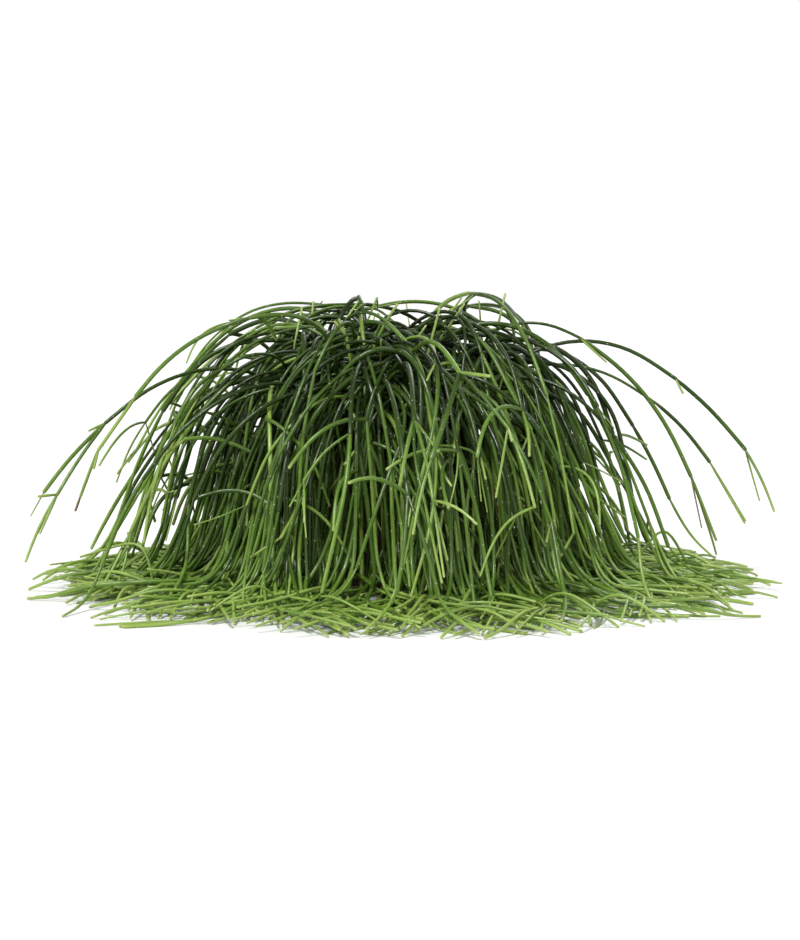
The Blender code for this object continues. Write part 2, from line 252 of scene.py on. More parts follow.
# The studio. Each light is its name, where it shines from, its strength and how wide it looks, in degrees.
FLOOR_RADIUS = 9
FLOOR_SIDES = 96
SURROUND_SEEN = 1.0
SURROUND_LIGHT = 0.25
LIGHTS = (
    ("key_light", (-0.35, -0.60, 1.0), 2.85, 16),
    ("left_light", (-1.0, -0.45, 0.55), 0.5, 30),
    ("right_light", (1.0, -0.60, 0.65), 0.5, 30),
    ("back_light", (0.35, 1.0, 0.70), 0.8, 40),
)
CAMERA_LENS = 100
CAMERA_SENSOR = 36
CAMERA_DISTANCE = 2.30
CAMERA_ELEVATION = 5
CAMERA_TARGET = (0.006, 0, 0.100)


class Thicket:
    """The room that stems take up: points along their centre lines, sorted into cubes of one clearance."""

    def __init__(self):
        self.cubes = {}

    def cube_of(self, point):
        return tuple(math.floor(value / CLEAR) for value in point)

    def add(self, path, owner):
        for _, _, point in samples_of(path):
            self.cubes.setdefault(self.cube_of(point), []).append((owner, point))

    def push_on(self, point, owner, clear=CLEAR):
        """The shortest move that clears what has another owner, or None where nothing is too near."""
        x, y, z = self.cube_of(point)
        nearest, away = clear, None
        for i in (x - 1, x, x + 1):
            for j in (y - 1, y, y + 1):
                for k in (z - 1, z, z + 1):
                    for other, spot in self.cubes.get((i, j, k), ()):
                        if other != owner and (point - spot).length < nearest:
                            nearest, away = (point - spot).length, point - spot
        if away is None:
            return None
        if point.z < PILE_HEIGHT:
            away = Vector((away.x, away.y, 0)) * PILE_SPREAD + UP * (abs(away.z) + MARGIN)
        return away.normalized() * (clear - nearest + MARGIN)


class Stem:
    """One length of stem, from joint to joint, with its order of branching and what forks from its end."""

    def __init__(self, path, spray, order):
        self.path = path
        self.spray = spray
        self.order = order
        self.forks = []
        self.young = False
        self.dry = False

    @property
    def heading(self):
        return (self.path[-1] - self.path[-2]).normalized()

    def all_stems(self):
        yield self
        for fork in self.forks:
            yield from fork.all_stems()


def samples_of(path):
    """Points every few millimetres along a path, with the leg that each is on and how far along that leg."""
    for leg in range(len(path) - 1):
        length = (path[leg + 1] - path[leg]).length
        count = max(1, math.ceil(length / SAMPLE))
        for n in range(count + 1):
            share = n / count
            yield leg, share, path[leg].lerp(path[leg + 1], share)


def radial(point):
    """The level direction from the pot's axis to the point."""
    flat = Vector((point.x, point.y, 0))
    return flat.normalized() if flat.length > 1e-6 else Vector((1, 0, 0))


def push_off_pot(point):
    """The shortest move that clears the pot and what fills it, or None where the point is clear."""
    up = POT_HEIGHT + CLEAR - point.z
    out = RIM_RADIUS + CLEAR - Vector((point.x, point.y)).length
    if up <= 0 or out <= 0:
        return None
    return Vector((0, 0, up)) if up < out else radial(point) * out


def thinned(path):
    """The fewest of the path's points that keep within the tolerance of it."""
    first, last = path[0], path[-1]
    chord = last - first
    worst, at = 0.0, 0
    for n in range(1, len(path) - 1):
        share = min(1, max(0, (path[n] - first).dot(chord) / max(chord.length_squared, 1e-12)))
        distance = (path[n] - first - chord * share).length
        if distance > worst:
            worst, at = distance, n
    if worst < TOLERANCE:
        return [first, last]
    return thinned(path[: at + 1])[:-1] + thinned(path[at:])


def grown(start, heading, length, sag, swing, reach, landing):
    """A stem's path from its joint. It bends under its own weight, comes down and lies along the surface.

    Beyond its reach it turns to one side, by the shorter way, and further out still it ends early.
    """
    path, point, heading = [start.copy()], start.copy(), heading.normalized()
    steps = round(length / STEP)
    for step in range(steps):
        heading = (heading + DOWN * sag * STEP).normalized()
        turn = swing * STEP
        height = max(0.0, point.z - LYING_LEVEL)
        if height < landing and heading.z < 0:
            cosine = 1 - height / landing
            sine = math.sqrt(1 - cosine * cosine)
            if -heading.z > sine:
                level = Vector((heading.x, heading.y, 0))
                level = (level + radial(point) * LEVEL_PULL).normalized()
                heading = level * cosine + DOWN * sine
            outward = heading.dot(radial(point))
            if Vector((point.x, point.y)).length > reach and outward > 0:
                turn = math.copysign(TURN_BACK, radial(point).cross(heading).z) * STEP
        heading = Matrix.Rotation(turn, 3, "Z") @ heading
        point = point + heading * STEP
        point.z = max(point.z, LYING_LEVEL)
        path.append(point.copy())
        if step > steps / 2 and Vector((point.x, point.y)).length > reach + BEYOND_REACH:
            break
    return thinned(path)


def pushed(path, rooted, pushes_at):
    """Moves a path's points by the strongest push near each, and says whether there was any push.

    A path's first point stays at its joint. A rooted path's first two points hold it in the mix.
    """
    moves = [Vector() for _ in path]
    fixed = 2 if rooted else 1
    for leg, share, point in samples_of(path):
        if leg < fixed - 1:
            continue
        for push in pushes_at(point):
            for n, part in ((leg, 1 - share), (leg + 1, share)):
                if push is not None and (push * part).length > moves[n].length:
                    moves[n] = push * part
    for n in range(fixed, len(path)):
        path[n] += moves[n]
        path[n].z = max(path[n].z, LYING_LEVEL)
    return any(move.length for move in moves)


def bent_clear(path, owner, thicket, rooted):
    """The path, bent until it clears the other sprays and the pot, or None if it can't."""
    path = [point.copy() for point in path]

    def pushes_at(point):
        return thicket.push_on(point, owner), None if rooted else push_off_pot(point)

    for _ in range(MOST_BENDS):
        if not pushed(path, rooted, pushes_at):
            return path
    return None


def root_of(spray):
    """Where a spray stands in the mix: spread like the seeds of a sunflower."""
    distance = ROOT_CIRCLE * math.sqrt((spray + 0.5) / SPRAYS)
    angle = spray * GOLDEN_ANGLE
    return Vector((distance * math.cos(angle), distance * math.sin(angle), MIX_LEVEL - ROOT_DEPTH))


def turned_heading(outward, turn, lean):
    """A heading that leans from upright, to a side that is turned from straight out, both in degrees."""
    side = Matrix.Rotation(math.radians(turn), 3, "Z") @ outward
    return side * math.sin(math.radians(lean)) + UP * math.cos(math.radians(lean))


def first_stem_at(root, rng):
    """The path of a first stem, from a place in the mix to its first joint."""
    above = root + UP * (ROOT_DEPTH + MIX_MOUND + STRAIGHT_ABOVE_MIX)
    edge = Vector((root.x, root.y)).length / ROOT_CIRCLE
    lean = rng.uniform(*FIRST_LEAN) + EDGE_FIRST_LEAN * edge
    heading = turned_heading(radial(root), rng.uniform(-VEER, VEER), lean)
    length = rng.uniform(*FIRST_LENGTH) + EDGE_FIRST_LENGTH * edge
    sag = FIRST_SAG + EDGE_FIRST_SAG * edge
    return [root] + grown(above, heading, length, sag, swing=0, reach=1, landing=0)


def arching_heading(outward, edge, fan, rng):
    """Where a stem heads from the crown: up and away to its own side of the joint."""
    most_turn = ARCH_TURN + EDGE_ARCH_TURN * edge
    turn = fan * (ARCH_FAN + EDGE_ARCH_FAN * edge) + rng.uniform(-most_turn, most_turn)
    return turned_heading(outward, turn, rng.uniform(*ARCH_LEAN) + EDGE_ARCH_LEAN * edge)


def hanging_heading(outward, heading, fan, rng):
    """Where a stem heads from a joint below the crown: on from its parent, and a little to one side."""
    side = heading.cross(UP)
    if side.length < STEEP:
        side = outward.cross(UP)
    sideways = fan * rng.uniform(*HANGING_FAN) + rng.uniform(-HANGING_VEER, HANGING_VEER)
    return heading + side.normalized() * sideways + outward * rng.uniform(*HANGING_OUTWARD)


def next_stem(parent, number, count, rng):
    """The path of one of the stems that fork from a parent's end."""
    joint = parent.path[-1]
    outward = radial(joint)
    fan = (number + 0.5) / count - 0.5
    if parent.order == 0:
        edge = min(1, Vector((joint.x, joint.y)).length / CROWN_EDGE)
        heading = arching_heading(outward, edge, fan, rng)
        length = rng.uniform(*ARCH_LENGTH)
        sag = rng.uniform(*ARCH_SAG)
    else:
        heading = hanging_heading(outward, parent.heading, fan, rng)
        length = HANGING_LENGTH[parent.order - 1] * rng.uniform(*LENGTH_SHARE)
        sag = rng.uniform(*HANGING_SAG)
    reach = rng.uniform(*REACH) + FRONT_RIGHT_REACH * max(0, outward.dot(FRONT_RIGHT))
    swing = math.copysign(rng.uniform(*SWING), rng.uniform(-1, 1))
    return grown(joint, heading, length, sag, swing, reach, rng.uniform(*LANDING_RADIUS))


def forks_of(stem, rng):
    """How many stems fork from a stem's end."""
    fewer = rng.random() < FEWER_SHARE[stem.order]
    return FEWER_FORKS[stem.order] + (0 if fewer else 1)


def placed(draw, owner, thicket, rooted=False):
    """The first clear path of a few draws, or None. The thicket then holds it."""
    for _ in range(MOST_TRIES):
        path = bent_clear(draw(), owner, thicket, rooted)
        if path is not None:
            thicket.add(path, owner)
            return path
    return None


def grown_plant(thicket):
    """The first stem of each spray, with all its forks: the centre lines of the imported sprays."""
    rngs = [random.Random(SEED + spray) for spray in range(SPRAYS)]
    firsts = []
    for spray, rng in enumerate(rngs):
        path = placed(lambda: first_stem_at(root_of(spray), rng), spray, thicket, rooted=True)
        firsts.append(Stem(path, spray, 0))
    parents = firsts
    while parents and parents[0].order < ORDERS - 1:
        children = []
        for parent in parents:
            rng = rngs[parent.spray]
            count = forks_of(parent, rng)
            for number in range(count):
                path = placed(lambda: next_stem(parent, number, count, rng), parent.spray, thicket)
                if path is not None:
                    parent.forks.append(Stem(path, parent.spray, parent.order + 1))
            children += parent.forks
        parents = children
    return firsts


def squeezed_in(path, thicket, rooted=False):
    """The path of an added stem, moved a little away from what it would cross, except near its joint."""
    path = [point.copy() for point in path]

    def pushes_at(point):
        if (point - path[0]).length < NEAR_JOINT:
            return ()
        return thicket.push_on(point, None, ADDED_CLEAR), None if rooted else push_off_pot(point)

    for _ in range(ADDED_BENDS):
        if not pushed(path, rooted, pushes_at):
            break
    return path


def within_room(path):
    """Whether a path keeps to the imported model's box, with a little room round it."""
    low, high = Vector(CAD_BOX[0]) - ROOM, Vector(CAD_BOX[1]) + ROOM
    return all(low[axis] < point[axis] < high[axis] for point in path for axis in range(3))


def add_stem_by(draw, parent, thicket, **looks):
    """Adds a stem to a joint, by the first of a few draws that keeps to the room there is, or none."""
    for _ in range(ADDED_TRIES):
        path = squeezed_in(draw(), thicket)
        if within_room(path):
            thicket.add(path, "added")
            stem = Stem(path, parent.spray, min(parent.order + 1, ORDERS - 1))
            for look, value in looks.items():
                setattr(stem, look, value)
            parent.forks.append(stem)
            return stem
    return None


def add_branch_by(draw, parent, thicket, rng):
    """Adds a stem to a joint, as above, with what forks from its end."""
    stem = add_stem_by(draw, parent, thicket)
    if stem is not None and stem.order < ORDERS - 1:
        add_forks(stem, forks_of(stem, rng), thicket, rng)


def add_forks(parent, count, thicket, rng):
    """Adds a number of branches to a joint."""
    for number in range(count):
        add_branch_by(lambda: next_stem(parent, number, count, rng), parent, thicket, rng)


def tangled_stem(parent, leans, rng):
    """The path of a stem that curls to any side of the crown, and fills it."""
    heading = turned_heading(radial(parent.path[-1]), rng.uniform(0, 360), rng.uniform(*leans))
    swing = rng.uniform(-TANGLE_SWING, TANGLE_SWING)
    length = rng.uniform(*TANGLE_LENGTH)
    sag = rng.uniform(*TANGLE_SAG)
    return grown(parent.path[-1], heading, length, sag, swing, REACH[0], LANDING_RADIUS[0])


def outlying_stem(parent, rng):
    """The path of a stiff stem that arches far out of the crown."""
    joint = parent.path[-1]
    turn = rng.uniform(-OUTLIER_TURN, OUTLIER_TURN)
    heading = turned_heading(radial(joint), turn, rng.uniform(*OUTLIER_LEAN))
    length = rng.uniform(*OUTLIER_LENGTH)
    sag = rng.uniform(*OUTLIER_SAG)
    return grown(joint, heading, length, sag, swing=0, reach=REACH[1], landing=LANDING_RADIUS[1])


def wisp(parent, rng):
    """The path of a thin young stem that still stands up from the crown."""
    heading = turned_heading(radial(parent.path[-1]), rng.uniform(0, 360), rng.uniform(*WISP_LEAN))
    return grown(parent.path[-1], heading, rng.uniform(*WISP_LENGTH), WISP_SAG, swing=0, reach=1, landing=0)


def shoot(parent, rng):
    """The path of a short young shoot, from a joint or from the end of a stem that has none."""
    ahead = parent.heading
    side = Matrix.Rotation(rng.uniform(0, math.tau), 3, ahead) @ ahead.orthogonal().normalized()
    lean = math.radians(rng.uniform(*SHOOT_LEAN))
    heading = ahead * math.cos(lean) + side * math.sin(lean)
    length = max(rng.uniform(*SHOOT_LENGTH), 2 * STEP)
    swing = rng.uniform(-SHOOT_SWING, SHOOT_SWING)
    return grown(parent.path[-1], heading, length, rng.uniform(*SHOOT_SAG), swing, reach=1, landing=0)


def second_foot(first, thicket, rng):
    """A stem that rises from the mix beside a spray's first stem, with its own branches."""
    angle = rng.uniform(0, math.tau)
    beside = Vector((math.cos(angle), math.sin(angle), 0)) * ADDED_ROOT_OFFSET
    path = squeezed_in(first_stem_at(first.path[0] + beside, rng), thicket, rooted=True)
    thicket.add(path, "added")
    second = Stem(path, first.spray, 0)
    add_forks(second, rng.choice(ADDED_AT_JOINT[0]), thicket, rng)
    return second


def later_stems(crown):
    """Every stem that grew from a joint, and none that grew from the mix."""
    return [stem for first in crown for stem in list(first.all_stems())[1:]]


def add_tangles(crown, thicket, rng):
    """Adds stems that fill the crown."""
    for parent in crown:
        for _ in range(rng.choice(TANGLES_AT_JOINT)):
            add_branch_by(lambda: tangled_stem(parent, TANGLE_LEAN, rng), parent, thicket, rng)


def add_outliers(crown, thicket, rng):
    """Adds stiff stems at some of the crown's outermost joints."""
    outermost = sorted(crown, key=lambda stem: -Vector(stem.path[-1].xy).length)
    for parent in rng.sample(outermost[: 2 * OUTLIERS], OUTLIERS):
        add_branch_by(lambda: outlying_stem(parent, rng), parent, thicket, rng)


def add_curls(crown, thicket, rng):
    """Adds stems that curl across the others, at joints well above the surface."""
    for stem in later_stems(crown):
        if stem.path[-1].z > LOWEST_CURL and rng.random() < CURL_SHARE:
            add_stem_by(lambda: tangled_stem(stem, CURL_LEAN, rng), stem, thicket)


def add_wisps(crown, thicket, rng):
    """Adds thin young stems on top of the crown."""
    for parent in rng.sample(crown, WISPS):
        add_stem_by(lambda: wisp(parent, rng), parent, thicket, young=True)


def add_shoots(crown, thicket, rng):
    """Adds short young shoots, a few of them dry, above the surface."""
    for stem in later_stems(crown):
        if stem.path[-1].z < LOWEST_SHOOT or rng.random() > SHOOT_SHARE:
            continue
        for _ in range(rng.choice(SHOOTS_AT_JOINT)):
            dry = rng.random() < DRY_SHARE
            add_stem_by(lambda: shoot(stem, rng), stem, thicket, young=True, dry=dry)


def thickened(firsts, thicket):
    """The stems of each spray, with many more from their joints, and a second foot beside the first."""
    rng = random.Random(ADDED_SEED)
    seconds = []
    for first in firsts:
        for stem in list(first.all_stems()):
            if stem.order < ORDERS - 1:
                add_forks(stem, rng.choice(ADDED_AT_JOINT[stem.order]), thicket, rng)
        seconds.append(second_foot(first, thicket, rng))
    crown = firsts + seconds
    for add in (add_tangles, add_outliers, add_curls, add_wisps, add_shoots):
        add(crown, thicket, rng)
    return [[*first.all_stems(), *second.all_stems()] for first, second in zip(firsts, seconds)]


def smooth_line(path):
    """Evenly spaced points on a smooth line along a path, with the path's own ends."""
    line = [path[0]]
    for start, end in zip(path, path[1:]):
        count = max(1, round((end - start).length / RING_SPACING))
        line += [start.lerp(end, n / count) for n in range(1, count + 1)]
    line = np.array([tuple(point) for point in line])
    for _ in range(SMOOTHING):
        line[1:-1] = (line[:-2] + 2 * line[1:-1] + line[2:]) / 4
    return line


def looks_of(stem, rng):
    """A stem's radius, its tone and its youth."""
    if stem.young:
        radius = YOUNG_RADIUS * rng.uniform(*YOUNG_THICKNESS_DRAW)
    else:
        radius = STEM_RADIUS[stem.order] * rng.uniform(*THICKNESS_DRAW)
    tone = 1.0 if stem.dry else rng.uniform(0, LIVE_TONE)
    age = FRESH_YOUTH if rng.random() < FRESH_SHARE else AGE_YOUTH[stem.order]
    youth = (SHOOT_YOUTH if stem.young else age) + rng.uniform(-YOUTH_DRAW, YOUTH_DRAW)
    return radius, tone, youth


class Tubes:
    """A growing mesh of round stems, with what their material reads at each point."""

    def __init__(self):
        self.points = []
        self.faces = []
        self.grain = []
        self.youth = []
        self.tone = []
        self.tip = []

    def ring(self, centre, across, other, radius, run, youth, tone, tip):
        """Adds a ring of points round a centre, and gives the number of its first."""
        start = len(self.points)
        for n in range(SIDES):
            angle = n * math.tau / SIDES
            out = across * math.cos(angle) + other * math.sin(angle)
            self.points.append(centre + out * radius)
            self.grain.append((math.cos(angle), math.sin(angle), run * 100))
        self.youth += [youth] * SIDES
        self.tone += [tone] * SIDES
        self.tip += [tip] * SIDES
        return start

    def join(self, low, high):
        """Adds the faces between two rings."""
        for n in range(SIDES):
            m = (n + 1) % SIDES
            self.faces.append((low + n, low + m, high + m, high + n))

    def close(self, ring, apex):
        """Adds a last point beyond a ring, and the faces up to it."""
        self.points.append(apex)
        self.grain.append((0, 0, self.grain[-1][2]))
        for values in (self.youth, self.tone, self.tip):
            values.append(values[-1])
        top = len(self.points) - 1
        for n in range(SIDES):
            self.faces.append((ring + n, ring + (n + 1) % SIDES, top))

    def to_mesh(self, name):
        mesh = bpy.data.meshes.new(name)
        mesh.from_pydata(self.points, [], self.faces)
        mesh.shade_smooth()
        grain = mesh.attributes.new("grain", "FLOAT_VECTOR", "POINT")
        grain.data.foreach_set("vector", np.array(self.grain, np.float32).ravel())
        for key in ("youth", "tone", "tip"):
            values = mesh.attributes.new(key, "FLOAT", "POINT")
            values.data.foreach_set("value", np.array(getattr(self, key), np.float32))
        return mesh


def add_stem(tubes, areoles, stem, rng):
    """Adds one stem: narrow at its foot, even along its length, and round at its end."""
    radius, tone, youth = looks_of(stem, rng)
    line = smooth_line(stem.path)
    steps = np.linalg.norm(np.diff(line, axis=0), axis=1)
    runs = np.concatenate([[0], np.cumsum(steps)])
    length = runs[-1]
    if stem.order > 0:
        # A thin stem lies lower than its solid does
        line[:, 2] -= (LYING_LEVEL - radius) * np.clip(1 - (line[:, 2] - LYING_LEVEL) / SETTLING, 0, 1)
    free = not stem.forks
    centres = [Vector(point) for point in line]
    along = (centres[1] - centres[0]).normalized()
    across = along.orthogonal().normalized()
    across = Matrix.Rotation(rng.uniform(0, math.tau), 3, along) @ across
    ring = None
    frames = []
    last = len(centres) - 1
    for n, centre in enumerate(centres):
        ahead = (centres[min(n + 1, last)] - centres[max(n - 1, 0)]).normalized()
        across = (across - ahead * across.dot(ahead)).normalized()
        other = ahead.cross(across)
        run = runs[n]
        foot = min(1, run / FOOT_LENGTH)
        to_end = max(0, 1 - (length - run) / TIP_LENGTH)
        width = radius * (NARROW_FOOT + (1 - NARROW_FOOT) * foot * (2 - foot))
        if free:
            width *= 1 - (1 - TIP_WIDTH) * to_end
        ring_youth = youth + YOUTH_RISE * (run / length - 0.5) + (TIP_YOUTH * to_end if free else 0)
        next_ring = tubes.ring(centre, across, other, width, run, ring_youth, tone, to_end * free)
        if ring is not None:
            tubes.join(ring, next_ring)
        ring = next_ring
        frames.append((centre, across, other, width, run))
    centre = centres[-1]
    for angle in CAP_ANGLES:
        rise = math.sin(math.radians(angle)) * width
        narrow = math.cos(math.radians(angle)) * width
        cap = tubes.ring(centre + ahead * rise, across, other, narrow, length, ring_youth, tone, free)
        tubes.join(ring, cap)
        ring = cap
    tubes.close(ring, centre + ahead * width)
    add_areoles(areoles, frames, rng)


def add_areoles(areoles, frames, rng):
    """Adds the small woolly dots that run round a stem in a spiral."""
    points, faces = areoles
    turn = rng.uniform(0, math.tau)
    next_run = rng.uniform(*AREOLE_SPACING)
    for (start, _, _, _, low), (end, across, other, width, high) in zip(frames, frames[1:]):
        while next_run < high:
            centre = start.lerp(end, (next_run - low) / (high - low))
            out = across * math.cos(turn) + other * math.sin(turn)
            around = other * math.cos(turn) - across * math.sin(turn)
            along = out.cross(around)
            first = len(points)
            for n in range(AREOLE_SIDES):
                angle = n * math.tau / AREOLE_SIDES
                rim = around * math.cos(angle) + along * (AREOLE_LENGTH * math.sin(angle))
                points.append(centre + out * (width * AREOLE_SUNK) + rim * AREOLE_RADIUS)
                faces.append((first + n, first + (n + 1) % AREOLE_SIDES, first + AREOLE_SIDES))
            points.append(centre + out * (width + AREOLE_HEIGHT))
            turn += GOLDEN_ANGLE
            next_run += rng.uniform(*AREOLE_SPACING)


def piece(name, mesh, material, slot, *nodes):
    """A piece of the visual model, on the one body, with the nodes that it stands for. Its slot is not used.
    """
    obj = bpy.data.objects.new(name, mesh)
    bpy.context.scene.collection.objects.link(obj)
    mesh.materials.clear()
    mesh.materials.append(material)
    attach(obj, "root")
    if nodes:
        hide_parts(*nodes)


def add_node(tree, kind, links=(), **settings):
    """A shader node with its settings. Each link is a socket's name or number, and a value or a socket."""
    node = tree.nodes.new(kind)
    for key, value in settings.items():
        setattr(node, key, value)
    for socket, value in links:
        if isinstance(value, bpy.types.NodeSocket):
            tree.links.new(value, node.inputs[socket])
        else:
            node.inputs[socket].default_value = value
    return node


def attribute(tree, name, vector=False):
    """What the mesh says at each point under a name."""
    node = add_node(tree, "ShaderNodeAttribute", attribute_name=name)
    return node.outputs["Vector" if vector else "Fac"]


def noise_of(tree, coordinates, scale, detail=2.0):
    """Soft noise from 0 to 1."""
    links = [("Vector", coordinates), ("Scale", scale), ("Detail", detail)]
    return add_node(tree, "ShaderNodeTexNoise", links).outputs["Fac"]


def mapped(tree, value, low, high, to_low=0.0, to_high=1.0):
    """A value carried from one range to another, and kept within it."""
    links = [("Value", value), ("From Min", low), ("From Max", high), ("To Min", to_low), ("To Max", to_high)]
    return add_node(tree, "ShaderNodeMapRange", links).outputs["Result"]


def maths(tree, operation, first, second):
    """One operation on two values."""
    return add_node(tree, "ShaderNodeMath", [(0, first), (1, second)], operation=operation).outputs[0]


def opaque(colour):
    """A colour with its full alpha, or a socket as it is."""
    return colour if isinstance(colour, bpy.types.NodeSocket) else (*colour, 1)


def mixed(tree, share, first, second, blend="MIX"):
    """The second colour over the first, by a share. The Mix node has its two colours at 6 and 7."""
    links = [(0, share), (6, opaque(first)), (7, opaque(second))]
    return add_node(tree, "ShaderNodeMix", links, data_type="RGBA", blend_type=blend).outputs[2]


def graded(tree, value, stops):
    """A colour for each value, from stops of (place, colour)."""
    node = add_node(tree, "ShaderNodeValToRGB", [(0, value)])
    ramp = node.color_ramp
    for n, (place, colour) in enumerate(stops):
        stop = ramp.elements[n] if n < 2 else ramp.elements.new(place)
        stop.position = place
        stop.color = opaque(colour)
    return node.outputs["Color"]


def new_group(name, inputs, outputs):
    """A shader node group with named sockets. Inputs are (name, kind, default), and outputs (name, kind)."""
    tree = bpy.data.node_groups.new(name, "ShaderNodeTree")
    for key, kind, default in inputs:
        socket = tree.interface.new_socket(key, in_out="INPUT", socket_type=kind)
        if default is not None:
            socket.default_value = default
    for key, kind in outputs:
        tree.interface.new_socket(key, in_out="OUTPUT", socket_type=kind)
    return tree, tree.nodes.new("NodeGroupInput").outputs, tree.nodes.new("NodeGroupOutput").inputs


def place_group(tree, group, links):
    """A node group's outputs, with its inputs linked or set."""
    return add_node(tree, "ShaderNodeGroup", links, node_tree=group).outputs


def mottle_group():
    """Soft uneven colour: broad patches and fine specks, round a value of 1."""
    inputs = [
        ("Coordinates", "NodeSocketVector", None),
        ("Size", "NodeSocketFloat", 100.0),
        ("Depth", "NodeSocketFloat", 0.2),
    ]
    tree, given, out = new_group("mottle", inputs, [("Value", "NodeSocketFloat")])
    broad = noise_of(tree, given["Coordinates"], given["Size"])
    fine = noise_of(tree, given["Coordinates"], maths(tree, "MULTIPLY", given["Size"], 5.3), 3.0)
    both = maths(tree, "ADD", maths(tree, "MULTIPLY", broad, 0.65), maths(tree, "MULTIPLY", fine, 0.35))
    centred = maths(tree, "MULTIPLY", maths(tree, "SUBTRACT", both, 0.5), given["Depth"])
    tree.links.new(maths(tree, "ADD", centred, 1.0), out["Value"])
    return tree


def dust_group():
    """Dry dust of the mix: thick in patches on faces that look up, and thinner elsewhere."""
    inputs = [("Amount", "NodeSocketFloat", 0.4), ("Size", "NodeSocketFloat", 60.0)]
    tree, given, out = new_group("settled_dust", inputs, [("Mask", "NodeSocketFloat")])
    normal = tree.nodes.new("ShaderNodeNewGeometry").outputs["Normal"]
    place = tree.nodes.new("ShaderNodeTexCoord").outputs["Object"]
    facing = add_node(tree, "ShaderNodeSeparateXYZ", [(0, normal)]).outputs["Z"]
    upward = mapped(tree, facing, -0.2, 1.0, 0.25, 1.0)
    patches = mapped(tree, noise_of(tree, place, given["Size"], 6.0), 0.48, 0.72)
    settled = maths(tree, "MULTIPLY", patches, upward)
    tree.links.new(maths(tree, "MULTIPLY", settled, given["Amount"]), out["Mask"])
    return tree


def new_material(name):
    """A material with an empty tree but for its shader, and that shader."""
    material = bpy.data.materials.new(name)
    material.use_nodes = True
    return material, material.node_tree, material.node_tree.nodes["Principled BSDF"]


def scaled_colour(tree, colour, value):
    """A colour made lighter or darker by a value round 1."""
    return mixed(tree, 1.0, colour, value, "MULTIPLY")


def stem_material(mottle):
    """Waxy green skin: dark and dull where it is old, paler and yellower towards the young ends."""
    material, tree, shader = new_material("waxy_green_stem")
    grain = attribute(tree, "grain", vector=True)
    youth = attribute(tree, "youth")
    tone = attribute(tree, "tone")
    uneven = place_group(tree, mottle, [("Coordinates", grain), ("Size", 0.9), ("Depth", 0.6)])["Value"]
    ages = [(0.0, OLD_GREEN), (1.0, PALE_GREEN), (0.30, LEAF_GREEN), (0.62, FRESH_GREEN)]
    green = graded(tree, maths(tree, "MULTIPLY", youth, uneven), ages)
    bluish = mapped(tree, tone, 0.45, 1.0, 0.0, 0.4)
    green = mixed(tree, bluish, green, mixed(tree, 0.5, green, BLUE_GREEN))
    tip = mapped(tree, attribute(tree, "tip"), 0.88, 1.0, 0.0, 0.6)
    green = mixed(tree, tip, green, TIP_GREEN)
    run = add_node(tree, "ShaderNodeSeparateXYZ", [(0, grain)]).outputs["Z"]
    green = mixed(tree, mapped(tree, run, 0.0, 0.7, 0.45, 0.0), green, JOINT_BROWN)
    green = mixed(tree, mapped(tree, tone, 0.97, 0.99), green, DRY_STRAW)
    green = scaled_colour(tree, green, uneven)
    tree.links.new(green, shader.inputs["Base Color"])
    streaks = add_node(tree, "ShaderNodeVectorMath", [(0, grain), (1, (2.2, 2.2, 0.8))], operation="MULTIPLY")
    wrinkles = noise_of(tree, streaks.outputs[0], 2.0, 3.0)
    tree.links.new(mapped(tree, wrinkles, 0.3, 0.7, 0.22, 0.38), shader.inputs["Roughness"])
    bump = add_node(tree, "ShaderNodeBump", [("Height", wrinkles), ("Strength", 0.25), ("Distance", 0.0004)])
    tree.links.new(bump.outputs["Normal"], shader.inputs["Normal"])
    shader.inputs["Specular IOR Level"].default_value = 0.45
    return material


def wool_material():
    """The pale felt of an areole."""
    material, tree, shader = new_material("areole_wool")
    place = tree.nodes.new("ShaderNodeTexCoord").outputs["Object"]
    felt = graded(tree, noise_of(tree, place, 90.0), [(0.35, WOOL[0]), (0.65, WOOL[1])])
    tree.links.new(felt, shader.inputs["Base Color"])
    shader.inputs["Roughness"].default_value = 0.9
    return material


def pot_material(mottle, dust):
    """Glossy red-brown plastic with fine moulding marks and a little dust of the mix."""
    material, tree, shader = new_material("red_brown_plastic")
    place = tree.nodes.new("ShaderNodeTexCoord").outputs["Object"]
    uneven = place_group(tree, mottle, [("Coordinates", place), ("Size", 45.0), ("Depth", 0.35)])["Value"]
    dusty = place_group(tree, dust, [("Amount", 0.5), ("Size", 70.0)])["Mask"]
    colour = mixed(tree, dusty, scaled_colour(tree, POT_BROWN, uneven), DRY_DUST)
    tree.links.new(colour, shader.inputs["Base Color"])
    dull = maths(tree, "ADD", dusty, maths(tree, "MULTIPLY", uneven, 0.2))
    tree.links.new(mapped(tree, dull, 0.1, 0.8, 0.24, 0.75), shader.inputs["Roughness"])
    rings = add_node(tree, "ShaderNodeVectorMath", [(0, place), (1, (4.0, 4.0, 260.0))], operation="MULTIPLY")
    marks = noise_of(tree, rings.outputs[0], 1.0, 3.0)
    bump = add_node(tree, "ShaderNodeBump", [("Height", marks), ("Strength", 0.12), ("Distance", 0.0006)])
    tree.links.new(bump.outputs["Normal"], shader.inputs["Normal"])
    return material


